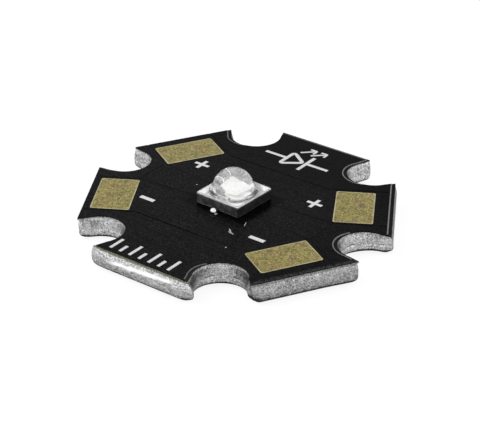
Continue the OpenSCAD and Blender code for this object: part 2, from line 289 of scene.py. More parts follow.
def makeSideAluminium():
    look = aluminiumLook
    material = newMaterial("sheared aluminium", {"Specular Tint": (*[look["glancing"]] * 3, 1)})
    place = objectPlace()
    level = axesOf(place)[2]
    torn, front, worn = attribute("torn"), attribute("front"), attribute("worn")
    coarse = grain(place, look["grainSize"], 2.0, 0.75)
    mottle = between(0.4, coarse, grain(place, look["fineGrain"], 1.0))
    dragged = grain(objectPlace(look["dragged"]), 1.0, 2.0)
    layered = grain(objectPlace(look["layered"]), 1.0, 3.0, 0.7)
    mottle = between(remap(torn, 0, 1, 0.2, 0.05), mottle, dragged)
    mottle = between(remap(front, 0, 1, 0.12, 0.45), mottle, layered)
    tones = [look[tone] for tone in ("pit", "dark", "light", "speck")]
    base = ramp(mottle, *zip(look["stops"], tones))
    for size, detail, *span, tone in look["patches"]:
        base = blend(remap(grain(place, size, detail), *span), base, look[tone])
    blotch = grain(objectPlace(look["blotches"], look["blotchTurn"]), 0.32, 3.0, 0.7)
    blotch = times(remap(blotch, 0.5, 0.62, 0.0, 0.8), remap(level, 0.3, 1.0, 1.0, 0.15))
    base = blend(times(blotch, worn), base, look["pit"])
    base = blend(times(attribute("lip"), remap(coarse, 0.4, 0.6, 0.1, 0.7)), base, look["speck"])
    base = blend(remap(attribute("dent"), 0.25, 0.9, 0.0, 0.85), base, look["pit"])
    # painted shade: darker towards the foot, lighter at the top edge
    base = tint(base, remap(level, 0.2, core["height"], *look["shade"]))
    # painted shade: darker out towards one side, with own tones on the worn and the front flat
    sideShade = remap(outTowards(look["sideShadeAngle"]), *look["sideShadeSpan"], 1.0, look["sideShade"], soft=True)
    sideShade = between(front, between(worn, sideShade, look["wornSideShade"]), look["frontSideShade"])
    bruised = minus(remap(torn, 0.35, 0.65), calc("MAXIMUM", worn, front), clamp=True)
    base = tint(base, remap(bruised, 0, 1, *look["bruised"]))
    # painted glints on the front flat
    paintedGlint = remap(grain(objectPlace(look["paintedGlints"]), 0.15, 1.0), 0.52, 0.6)
    paintedGlint = times(paintedGlint, remap(level, *look["paintedGlintLevel"]))
    base = blend(times(paintedGlint, front), base, look["burnishAndHighlight"])
    base = tint(base, sideShade)
    ragged = plus(level, spread(coarse, -look["raggedBy"], look["raggedBy"]))
    olive = remap(ragged, *[core["height"] - d for d in look["oliveDepth"]], soft=True)
    base = blend(times(olive, front), base, look["olive"])
    # painted highlight: the burnished band on the front flat is near white
    base = blend(attribute("burnishAndHighlight"), base, look["burnishAndHighlight"])
    # painted shadow: a dark, dull band along the foot
    line = between(worn, look["footShadowHeight"], look["wornFootShadowHeight"])
    foot = times(fall(calc("DIVIDE", ragged, line), 0.75, 1.0, soft=True), look["footShadowShare"])
    base = blend(foot, base, look["footShadowTone"])
    rough = between(foot, remap(torn, 0, 1, *look["roughness"]), 1.0)
    return paint(material, base, rough, bump(mottle, 0.02), Metallic=minus(1.0, foot))


rolledLook = {
    "lines": (0.25, 14, 1),
    "linesTurn": 0.2,
    "tones": ((0.3, 0.5), (0.7, 0.7)),
    "clouds": 0.66,
}


def makeUnderAluminium():
    look = rolledLook
    material = newMaterial("rolled aluminium", {"Metallic": 1.0})
    lines = grain(objectPlace(look["lines"], look["linesTurn"]), 1.0, 4.0, 0.7)
    cloud = grain(objectPlace(), 2.5, 3.0)
    base = blend(spread(cloud), ramp(lines, *look["tones"]), look["clouds"])
    return paint(material, base, spread(lines, 0.3, 0.48), bump(lines, 0.006))


insulationLook = {
    "olive": ((0.04, 0.039, 0.028), (0.15, 0.145, 0.1), (0.4, 0.39, 0.31)),
    "notch": (0.1, 0.36, 0.7),  # bruised by the punch, as pale as the metal
    "worn": (0.07, 0.24, 0.45),
    "flatDepth": 0.04,  # mm that the flats' look reaches in
}


# How far a point lies from the package's middle towards this angle
def outOfPackage(angle):
    return minus(outTowards(angle), packageMiddle[0] * cos(angle) + packageMiddle[1] * sin(angle))


# Olive on the flats, pale in the notches, grey on the worn flat
def makeInsulation():
    look = insulationLook
    material = newMaterial("filled resin", {"Specular IOR Level": 0.3})
    fine = grain(objectPlace(), 0.08, 3.0)
    flatFrom = halfAcross - look["flatDepth"]
    onFlat = 0
    for k in range(3):
        across = calc("ABSOLUTE", outTowards(halfStep + k * turnStep))
        onFlat = calc("MAXIMUM", onFlat, calc("GREATER_THAN", across, flatFrom))
    onWorn = calc("GREATER_THAN", outTowards(wornFlat), flatFrom)
    base = blend(onFlat, threeTones(fine, look["notch"]), threeTones(fine, look["olive"]))
    base = blend(onWorn, base, threeTones(fine, look["worn"]))
    return paint(material, base, 0.6, bump(fine, 0.01))


maskLook = {
    "ink": 0.0024,
    "cloud": 0.006,
    "dust": 0.024,
    "gloss": 0.012,
    "back": (1.0, 7.0, 1.0, 0.35),  # the light falls off behind the package, along Y
    "rightSide": (4.0, 8.0, 1.0, 0.6),  # and towards the right edge, along X
    "streaks": (0.5, 5, 1),
    "streakTurn": radians(22),
    "underneath": 0.3,  # right beside the package it lies in the dark
    "underneathTo": (2.25, 1.9),  # mm from the package's middle, along X and Y
    "underneathFade": 0.55,
    "groove": 0.017,  # painted light: the etched gaps' floors are lighter, so that their shade hardly shows
    "grooveDepth": 0.015,
    "deepGroove": 0.0002,
    "darkGroove": -5.3,  # apart from the left part of one, at this y, painted dark as shade
    "darkReach": 0.4,
    "darkEnds": (-0.5, 2.6),
    "worn": (0.012, 0.05, 0.13),
    "wornWidth": (0.36, 0.03),  # where the wear begins and is whole, in from the edge
}


def makeMask():
    look = maskLook
    material = newMaterial("black solder mask", {"Specular IOR Level": look["gloss"]})
    place = objectPlace()
    x, y, z = axesOf(place)
    fine = grain(place, 0.09, 4.0, 0.6)
    cloud = grain(place, 1.6, 3.0)
    streak = grain(objectPlace(look["streaks"], look["streakTurn"]), 1.0, 4.0, 0.7)
    base = blend(remap(fine, 0.47, 0.66), look["ink"], look["dust"])
    base = blend(remap(cloud, 0.4, 0.7, 0.0, 0.5), base, look["cloud"])
    base = blend(remap(streak, 0.5, 0.7, 0.0, 0.35), base, look["dust"])
    # painted light and shade in the etched gaps
    onDark = calc("LESS_THAN", calc("ABSOLUTE", minus(y, look["darkGroove"])), look["darkReach"])
    groove = between(times(onDark, fall(x, *look["darkEnds"])), look["groove"], look["deepGroove"])
    base = blend(calc("LESS_THAN", z, maskTop - look["grooveDepth"]), base, groove)
    edge = plus(outTowards(wornFlat), spread(fine, -0.07, 0.07))
    worn = remap(edge, *[halfAcross - depth for depth in look["wornWidth"]])
    base = blend(worn, base, ramp(fine, *zip((0.38, 0.5, 0.64), look["worn"])))
    base = tint(base, remap(y, *look["back"]))
    beside = 0
    for angle, reach in zip((packageTurn, packageTurn - radians(90)), look["underneathTo"]):
        beside = calc("MAXIMUM", beside, minus(calc("ABSOLUTE", outOfPackage(angle)), reach))
    base = tint(base, remap(beside, 0.0, look["underneathFade"], look["underneath"], 1.0, soft=True))
    base = tint(base, remap(x, *look["rightSide"]))
    relief = bump(grain(place, 0.25, 2.0), 0.004, bump(fine, 0.0015))
    return paint(material, base, spread(fine, 0.16, 0.3), relief)


thinMaskHighlightLook = {
    "dark": (0.06, 0.06, 0.056),
    "light": (0.2, 0.2, 0.19),
    "broken": 0.03,
    "fade": (-1.0, 8.5, 0.55, 1.35),  # painted light: it is brighter towards the angle below
    "paintedLightAngle": radians(15),
}


# The mask thinned over the copper's edge, painted pale partly as a highlight
def makeThinMaskHighlight():
    look = thinMaskHighlightLook
    material = newMaterial("thinned mask with painted highlight", {"Specular IOR Level": 0.5})
    fine = grain(objectPlace(), 0.12, 3.0)
    broad = grain(objectPlace(), 1.1, 2.0)
    base = blend(spread(fine), look["dark"], look["light"])
    base = blend(remap(broad, 0.3, 0.6, 0.4, 0.0), base, look["broken"])
    base = tint(base, remap(outTowards(look["paintedLightAngle"]), *look["fade"]))
    return paint(material, base, 0.4)


goldLook = {
    "pale": (0.331, 0.27, 0.078),
    "olive": (0.174, 0.152, 0.039),
    "brown": (0.226, 0.157, 0.074),
    "dark": (0.052, 0.048, 0.022),
    "green": (0.174, 0.2, 0.061),
    "light": (0.522, 0.47, 0.209),
    # painted highlight: tone of the pale rim along the pads' edges
    "rim": (0.62, 0.58, 0.38),
    # Which grain, from where to where in it, how strong there, and the tone
    "spots": (("dots", 0.52, 0.66, 0.0, 0.5, "brown"), ("dots", 0.36, 0.48, 0.45, 0.0, "green"),
              ("fine", 0.38, 0.48, 0.6, 0.0, "dark"), ("fine", 0.54, 0.66, 0.0, 0.6, "light")),
}


def makeGold():
    look = goldLook
    material = newMaterial("gold finish", {"Metallic": 1.0})
    place = objectPlace()
    dots = grain(objectPlace((1.3, 0.8, 1), 0.5), 0.17, 2.0)
    grains = {"fine": grain(place, 0.1, 1.0, 0.7), "dots": dots}
    cloud = grain(place, 0.7, 3.0, 0.6)
    base = ramp(cloud, (0.34, look["olive"]), (0.5, look["pale"]), (0.68, look["brown"]))
    for name, *span, tone in look["spots"]:
        base = blend(remap(grains[name], *span), base, look[tone])
    # painted highlight on the rim
    base = blend(times(attribute("rim"), remap(cloud, 0.35, 0.55, 1.0, 0.5)), base, look["rim"])
    return paint(material, base, spread(cloud, 0.38, 0.5), bump(grains["fine"], 0.008))


# Materials of two tones: size and detail of the grain, the tones, the depth of its bumps, what is even
plainLooks = {
    "etched copper": (0.06, 3.0, (0.06, 0.03, 0.02), (0.1, 0.06, 0.04), 0.008,
                      {"Metallic": 1.0, "Roughness": 0.4}),  # painted shade: dark where it shows, in the gaps by the package and at the edge
    "plated contacts": (0.05, 2.0, (0.6, 0.5, 0.26), (0.8, 0.7, 0.42), 0,
                        {"Metallic": 1.0, "Roughness": 0.3}),
    # tones of the flux specks and of the painted reflections
    "flux and painted reflections": (0.08, 3.0, (0.3, 0.3, 0.28), (0.6, 0.6, 0.57), 0,
                     {"Specular IOR Level": 0.5, "Roughness": 0.25}),
    "protection chip": (0.05, 2.0, (0.7, 0.72, 0.76), (0.9, 0.91, 0.93), 0,
                        {"Roughness": 0.25, "Metallic": 0.4}),
    "bright wire": (0.05, 2.0, (0.93, 0.9, 0.84), (1.0, 1.0, 0.97), 0, {"Metallic": 1.0, "Roughness": 0.2}),
}


def makePlain(name):
    size, detail, dark, light, depth, fixed = plainLooks[name]
    material = newMaterial(name, fixed)
    fine = grain(objectPlace(), size, detail)
    return paint(material, blend(fine, dark, light), normal=bump(fine, depth) if depth else None)


inkTones = ((0.3, 0.5), (0.45, 0.74), (0.65, 0.86))  # places in the grain and tones there


def makeInk():
    material = newMaterial("white ink", {"Specular IOR Level": 0.3})
    fine = grain(objectPlace(), 0.08, 3.0, 0.6)
    return paint(material, ramp(fine, *inkTones), 0.5, bump(fine, 0.005))


solderLook = {
    "deepShade": 0.03,  # painted shade: dark down in the mask's openings
    "dark": 0.62,
    "light": 0.95,
    "roughness": 0.14,
}


def makeSolder():
    look = solderLook
    material = newMaterial("bright solder", {"Metallic": 1.0})
    place = objectPlace()
    fine = grain(place, 0.06, 3.0)
    # painted shade: below the mask's top the solder is dark
    free = remap(axesOf(place)[2], maskTop + 0.02, maskTop + 0.06)
    base = blend(free, look["deepShade"], blend(fine, look["dark"], look["light"]))
    return paint(material, base, look["roughness"], bump(fine, 0.01))


ceramicLook = {
    "dark": 0.014,
    "light": 0.07,
    # painted highlight: tone of the pale rim along the edges
    "edge": 0.5,
    "right": (1.38, 1.44, 1.0, 0.35),  # less light falls on the right side
    "top": (0.5, 0.75, 0.95),  # painted light: pale on top, where the silicone lies on it
}


def makeCeramic():
    look = ceramicLook
    material = newMaterial("grey ceramic", {"Specular IOR Level": 0.15})
    place = objectPlace()
    fine = grain(place, 0.07, 3.0, 0.65)
    broad = grain(place, 0.4, 2.0)
    base = blend(remap(fine, 0.35, 0.65), look["dark"], look["light"])
    base = blend(remap(broad, 0.45, 0.65, 0.0, 0.6), base, look["light"] * 1.8)
    # painted highlight along the edges
    rim = times(attribute("rim"), remap(fine, 0.4, 0.56, 0.15, 1.0))
    base = blend(rim, base, look["edge"])
    base = tint(base, remap(outTowards(packageTurn), *look["right"], soft=True))
    # painted light on the top face
    onTop = calc("GREATER_THAN", axesOf(place)[2], topOf("ceramic_body") - 0.004)
    base = blend(onTop, base, threeTones(fine, look["top"]))
    return paint(material, base, 0.45, bump(fine, 0.012))


silverLook = {
    "grey": (0.4, 0.47, 0.56),  # painted shade: behind and left of the lit area, where it reflects less
    "corner": (0.68, 0.86, 0.97),  # painted light: at its left end, through the foot of the dome
    "cornerFrom": 0.6,  # mm from the package's middle, towards cornerAngle
    "cornerFade": 0.25,
    "cornerAngle": radians(235),
    # painted light: tone of the lit area
    "white": (0.96, 1.0, 1.0),
    "outside": (0.92, 1.0, 1.0),
    "outsideSpan": (1.37, 1.4),
    # The lit area's borders on the left and at the back, and its cut corner
    "litLeft": 0.7,
    "litBack": 0.7,
    "litCorner": (0.63, 0.78, 0.54),
    "paintedDomeGlints": ((0.25, 0.9, 0.2), (-0.69, 0.71, 0.1)),  # painted glints: x, y, radius
    # Painted shade: radius and darkness of the rings that the foot of the dome draws
    "rings": ((1.04, 0.0), (1.12, 0.1), (1.3, 0.0), (1.36, 0.1), (1.4, 0.6), (1.5, 0.8), (1.6, 0.8),
              (1.76, 0.7), (1.86, 0.25), (1.93, 0.0)),
    "paintedRingShare": 0.7,
}


# Painted light and shade under the dome: one side of the chip and of the metal beside it
# is painted white, the rest grey
def underDome():
    local = addNode("ShaderNodeMapping", {"Vector": vector("SUBTRACT", objectPlace(), (*packageMiddle, 0)),
                                          "Rotation": (0, 0, -packageTurn), "Scale": (1, 1, 0)}).outputs[0]
    x, y, z = axesOf(local)
    left, back = plus(x, silverLook["litLeft"]), minus(silverLook["litBack"], y)
    cutX, cutY, cutOff = silverLook["litCorner"]
    corner = plus(plus(times(x, cutX), times(y, cutY)), cutOff)
    inside = calc("MINIMUM", calc("MINIMUM", left, corner), back)
    ragged = plus(inside, spread(grain(objectPlace(), 0.14, 3.0), -0.07, 0.07))
    lit = remap(ragged, -0.03, 0.05)
    for gx, gy, size in silverLook["paintedDomeGlints"]:
        lit = calc("MAXIMUM", lit, fall(vector("DISTANCE", local, (gx, gy, 0)), size * 0.7, size * 1.2))
    return lit, vector("LENGTH", local)


def makeSilver():
    look = silverLook
    material = newMaterial("silver metal", {"Metallic": 1.0})
    fine = grain(objectPlace(), 0.16, 2.5)
    lit, radius = underDome()
    start = look["cornerFrom"]
    left = remap(outOfPackage(look["cornerAngle"]), start, start + look["cornerFade"])
    base = blend(left, threeTones(fine, look["grey"], 0.1), threeTones(fine, look["corner"], 0.1))
    base = blend(lit, base, threeTones(fine, look["white"], 0.1))
    base = blend(remap(radius, *look["outsideSpan"]), base, threeTones(fine, look["outside"], 0.1))
    rings = [(r / 2, 1 - look["paintedRingShare"] * dark) for r, dark in look["rings"]]
    # painted shade: dark rings round the foot of the dome
    base = tint(base, ramp(times(radius, 0.5), *rings), remap(left, 0, 1, 1.0, 0.35))
    return paint(material, base, spread(fine, 0.1, 0.22), bump(fine, 0.003))


chipTones = ((0.88, 0.88, 1.0), (1.0, 0.99, 0.93))


def makeChip():
    material = newMaterial("led chip", {"Roughness": 0.4, "Metallic": 0.5})
    fine = grain(objectPlace(), 0.16, 2.0)
    bright = blend(remap(fine, 0.3, 0.55), *chipTones)
    # painted light and shade: bright in the lit area, grey elsewhere
    return paint(material, blend(underDome()[0], threeTones(fine, silverLook["grey"], 0.1), bright))


lens = {
    "domeRadius": 1.38,
    "ringRadius": 1.55,
    "ringHeight": 0.12,
    "sink": 0.004,  # below the ceramic's top, so that the faces don't meet
    "filmIn": 0.012,
    "filmEdge": 0.025,
    "edgeShare": 0.3,  # how far in the rounded edge's middle point lies
    "filmSteps": (0.75, 0.5, 0.25),  # loops between the film's edge and the ring
    "slip": (-0.037, -0.027),  # of the dome, on the ceramic
    "segments": 128,
    "arcSteps": 40,
    "ripple": 0.006,
    "rippleSize": 1 / 3,
    "filmCorner": 0.06,
    "pastRing": 0.05,
    # Steps of the profile, out and up
    "ringFoot": ((0.03, 0), (0.005, 0.012), (0, 0.04)),
    "ringTop": ((-0.01, -0.035), (-0.04, -0.008), (-0.08, 0)),
    "domeFoot": ((0.045, 0), (0.012, 0.012)),
    "ringShadeTone": (0.16, 0.16, 0.165),  # painted shade: its outer side is tinted dark grey
    "ringSpan": (-0.06, -0.02, 0.01, 0.05),
    "tone": (0.98, 0.985, 0.99),
}


def makeSilicone():
    material = newMaterial("clear silicone", {"Transmission Weight": 1.0, "IOR": 1.41})
    fine = grain(objectPlace(), 0.3, 2.0)
    middle = (packageMiddle[0] + lens["slip"][0], packageMiddle[1] + lens["slip"][1], 0)
    radius = vector("DISTANCE", vector("MULTIPLY", objectPlace(), (1, 1, 0)), middle)
    ring = lens["ringRadius"]
    start, full, fade, end = [ring + offset for offset in lens["ringSpan"]]
    # painted shade on the ring's outer side
    onRing = times(remap(radius, start, full), fall(radius, fade, end))
    onRing = times(onRing, remap(fine, 0.35, 0.6, 1.0, 0.5))
    base = blend(onRing, lens["tone"], lens["ringShadeTone"])
    return paint(material, base, remap(fine, 0.3, 0.8, 0.0, 0.03))


# Mesh helpers
def placeObject(name, data):
    made = bpy.data.objects.new(name, data)
    bpy.context.scene.collection.objects.link(made)
    return made


def addObject(name, mesh, material):
    mesh.materials.clear()
    mesh.materials.append(material)
    return placeObject(name, mesh)


def settle(piece, slot, *nodes):
    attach(piece, "root")
    if nodes:
        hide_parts(*nodes)


def newMesh(name, points, faces=()):
    mesh = bpy.data.meshes.new(name)
    mesh.from_pydata([Vector(p) * mm for p in points], [], faces)
    return mesh


# Faces between rows of points, each row a closed loop or open at its ends
def rowFaces(rows, count, closed=True):
    faces = []
    for row in range(rows - 1):
        for i in range(count if closed else count - 1):
            a, b = row * count + i, row * count + (i + 1) % count
            faces.append((a, b, b + count, a + count))
    return faces


# Faces between closed loops of points, and one across the first loop
def tubeFaces(loops, count):
    return rowFaces(loops, count) + [tuple(reversed(range(count)))]


def store(mesh, name, values, kind="FLOAT", key="value"):
    mesh.attributes.new(name, kind, "POINT").data.foreach_set(key, values)


# A closed shell through loops of points, from the lowest to the highest; rims gives each loop's own value
def loft(name, loops, material, rims=None, sharp=35):
    count = len(loops[0])
    last = (len(loops) - 1) * count
    faces = tubeFaces(len(loops), count) + [tuple(range(last, last + count))]
    mesh = newMesh(name, [p for loop in loops for p in loop], faces)
    if rims:
        store(mesh, "rim", [r for r in rims for i in range(count)])
    mesh.shade_smooth()
    mesh.set_sharp_from_angle(angle=radians(sharp))
    mesh.update()
    return addObject(name, mesh, material)


def roundedRect(width, depth, radius, arc=5):
    points = []
    for quarter in range(4):
        cx = (width / 2 - radius) * (1 if quarter in (0, 3) else -1)
        cy = (depth / 2 - radius) * (1 if quarter < 2 else -1)
        for i in range(arc + 1):
            angle = radians(90 * (quarter + i / arc))
            points.append((cx + radius * cos(angle), cy + radius * sin(angle)))
    return points


# Geometry tree helpers
def startTree(name, **inputs):
    tree = bpy.data.node_groups.new(name, "GeometryNodeTree")
    trees.append(tree)
    tree.interface.new_socket("Geometry", in_out="INPUT", socket_type="NodeSocketGeometry")
    for label, value in inputs.items():
        kind = "NodeSocketInt" if isinstance(value, int) else "NodeSocketFloat"
        tree.interface.new_socket(label, in_out="INPUT", socket_type=kind).default_value = value
    tree.interface.new_socket("Finish", in_out="INPUT", socket_type="NodeSocketMaterial")
    tree.interface.new_socket("Geometry", in_out="OUTPUT", socket_type="NodeSocketGeometry")
    return tree.nodes.new("NodeGroupInput").outputs


def geo(kind, inputs=None, **settings):
    return addNode("GeometryNode" + kind, inputs, **settings)


def endTree(source, geometry):
    whole = geo("RealizeInstances", {0: geometry})
    addNode("NodeGroupOutput", {0: geo("SetMaterial", {0: whole, "Material": source["Finish"]})})
    return trees[-1]


def runTree(name, data, tree, material, **values):
    holder = placeObject(name + ".seed", data)
    modifier = holder.modifiers.new("build", "NODES")
    modifier.node_group = tree
    values["Finish"] = material
    for item in tree.interface.items_tree:
        if item.in_out == "INPUT" and item.name in values:
            modifier[item.identifier] = values[item.name]
    depsgraph = bpy.context.evaluated_depsgraph_get()
    mesh = bpy.data.meshes.new_from_object(holder.evaluated_get(depsgraph))
    holder.modifiers.clear()
    bpy.data.objects.remove(holder)
    mesh.name = name
    return addObject(name, mesh, material)


def polyline(name, runs):
    curve = bpy.data.curves.new(name, "CURVE")
    curve.dimensions = "3D"
    for run in runs:
        spline = curve.splines.new("POLY")
        spline.points.add(len(run) - 1)
        for point, place in zip(spline.points, run):
            point.co = (*(Vector(place) * mm), 1)
    return curve


# The board's outline, from one notch repeated six times
board = {
    "notchRadius": 1.74,
    "notchCentre": 9.727,
    "notchFlare": radians(10),
    "cornerShare": 0.85,  # of the flared side, the most that a corner takes
}


# From a notch's inner end to the middle of the flat beside it, with the notch along +X
def halfNotch(inset, cornerRound, counts):
    radius = board["notchRadius"] + inset
    flare = board["notchFlare"]
    mouthAngle = flare + asin((board["notchRadius"] * cos(flare) + inset) / radius)
    arcCount, flareCount, cornerCount, flatCount = counts
    points = []
    for i in range(arcCount):
        angle = pi + (mouthAngle - pi) * i / arcCount
        points.append((board["notchCentre"] + radius * cos(angle), radius * sin(angle)))
    mouth = Vector((board["notchCentre"] + radius * cos(mouthAngle), radius * sin(mouthAngle)))
    out = Vector((cos(flare), sin(flare)))
    across = Vector((cos(halfStep), sin(halfStep)))
    along = Vector((-sin(halfStep), cos(halfStep)))
    run = (halfAcross - inset - mouth.dot(across)) / out.dot(across)
    corner = mouth + out * run
    first = corner - out * min(cornerRound, run * board["cornerShare"])
    last = corner + along * cornerRound
    middle = across * (halfAcross - inset)
    points += stretch(mouth, first, flareCount)[:-1]
    points += bend(first, corner, last, cornerCount)[:-1]
    points += stretch(last, middle, flatCount)
    return [tuple(p) for p in points]


def wholeNotch(inset, cornerRound, counts):
    half = halfNotch(inset, cornerRound, counts)
    return [(x, -y) for x, y in reversed(half)] + half[1:]


# How far a point lies inside the punched outline
def insideBy(x, y):
    distance = halfAcross
    for k in range(6):
        px, py = turned(x, y, -k * turnStep)
        qx = turned(x, y, -halfStep - k * turnStep)[0]
        distance = min(distance, halfAcross - qx)
        if px < board["notchCentre"]:
            distance = min(distance, hypot(px - board["notchCentre"], py) - board["notchRadius"])
        else:
            side = (abs(py) - board["notchRadius"]) * cos(board["notchFlare"])
            distance = min(distance, side - (px - board["notchCentre"]) * sin(board["notchFlare"]))
    return distance


# The aluminium core: one notch's stretch of the punched wall, repeated round by a tree that tears it
core = {
    "height": topOf("base_plate"),
    "columns": (46, 12, 8, 62),  # round end, flared side, corner, half flat
    "rows": 40,
    "rowPower": 1.15,  # rows lie closer at the foot
    "weld": 0.004,
    "swell": 0.13,  # how far the side stands out past the top edge, before it's roughened
    "swellPower": 1.6,
    "swellHeight": 0.75,
    "footIn": 0.25,
    "footPower": 4.0,
    "topRoll": 0.025,
    "topHeight": 0.12,
    "cornerTop": 0.04,
    "cornerSwell": 0.13,
    "cornerFoot": 0.05,
    "cornerHeight": 0.45,
    "bend": 1.7,  # 1 leans a corner straight, more bends it under its top
    "nudges": (  # corners the punch bent: x, y, reach, shift at the top, shift at the foot
        (-6.79, -8.25, 1.2, (0.05, 0.04), (-0.16, 0.24)),
        (-3.75, -10, 0.9, (-0.36, 0.1), (-0.16, 0.03)),
        (3.75, -10, 0.9, (0.02, 0.01), (0.08, 0.37)),
        (6.79, -8.25, 1.1, (0.09, 0.07), (-0.14, 0.75)),
        (10.5, -1.75, 2.5, (-0.06, 0.02), (0.0, -0.16)),
        (10.5, 1.75, 3.0, (0, 0), (-0.24, 0.42)),
        (10.5, 1.75, 0.8, (0, 0), (-0.1, 0.24)),
    ),
    "crackHeight": 0.76,
    "crackWander": 0.2,
    "crackDepth": 0.035,
    "crackWidth": 0.04,
    "tornSpan": (-0.3, 0.3),  # whole metal above the crack, torn below it
    "tornGrain": (0.16, 4.0, 0.65),
    "tornDepth": 0.03,
    "wholeDepth": 0.35,  # share of that depth on whole metal
    "shineDepth": 0.2,  # and on the burnished band, which is painted bright as a highlight
    "dragDepth": 0.01,
    "wornPull": 0.13,  # the worn flat lies this much further in
    "wornTop": 0.02,  # below the top edge, which keeps its place
    "wornFoot": 0.05,  # and its foot this much more
    "wornFootHeight": 0.4,
    "wornCrack": 0.3,  # share of the crack that shows on it and on the front flat
    "calmFlats": [radians(a) for a in (90, 150, 210)],
    "calmShare": 0.95,  # share of the swell that these flats lack
    "calmFoot": (0.02, 0.3),
    "shineFrom": -2.9,  # the burnished band on the front flat, painted bright as a highlight, along X
    "shineTo": 2.7,
    "shineLow": 0.87,
    "shineHigh": 1.19,
    "shineTilt": 0.06,
    "shineSoft": 0.08,
    "flatSpan": (halfAcross - 1.2, halfAcross - 0.6),  # where a flat's own form begins, from the middle
    "flatDepth": 0.25,  # the front flat's own marks reach this far in
    "patchSize": 0.8,
    "patchShare": (0.42, 0.56, 0.2, 1.0),  # how much of the crack the patches leave
    "dirtyShare": (3.0, 5.0, 0.25, 1.0),
    "dragStretch": (6, 6, 0.5),
    "bandStretch": (0.9, 1, 6),
    "bandRagged": 0.07,
    "shineEnds": (0.9, 0.5),
    "slice": 3.7,  # height at which the crack's course is cut out of the noise
    "dirtyWay": (0.67, -0.74, 0),  # the crack shows most towards here
    "lipBelow": 0.08,
}


def swellAt(z):
    over = z - core["swellHeight"]
    if over > 0:
        return 1 - (over / (core["height"] - core["swellHeight"])) ** core["swellPower"]
    return 1 - (-over / core["swellHeight"]) ** core["footPower"]


def wallInset(z):
    foot = max(0, 1 - z / core["swellHeight"]) ** core["footPower"] * core["footIn"]
    rim = (z - core["height"]) / core["topHeight"] + 1
    return foot - core["swell"] * swellAt(z) + core["topRoll"] * max(0, rim) ** 2


def cornerRound(z):
    rise = max(0, 1 - z / core["cornerHeight"])
    return core["cornerTop"] + core["cornerSwell"] * swellAt(z) + core["cornerFoot"] * rise ** 1.2


# What the wall's tree takes from the values above
def wallValues():
    names = ("crackHeight", "crackWander", "crackDepth", "crackWidth", "tornDepth", "dragDepth", "wornPull",
             "wornFoot", "wornCrack", "shineFrom", "shineTo", "shineLow", "shineHigh", "shineTilt")
    return {"copies": 6, "flatAt": halfAcross - core["flatDepth"],
            "calmSwell": core["swell"] * core["calmShare"],
            **{name: core[name] for name in names}}


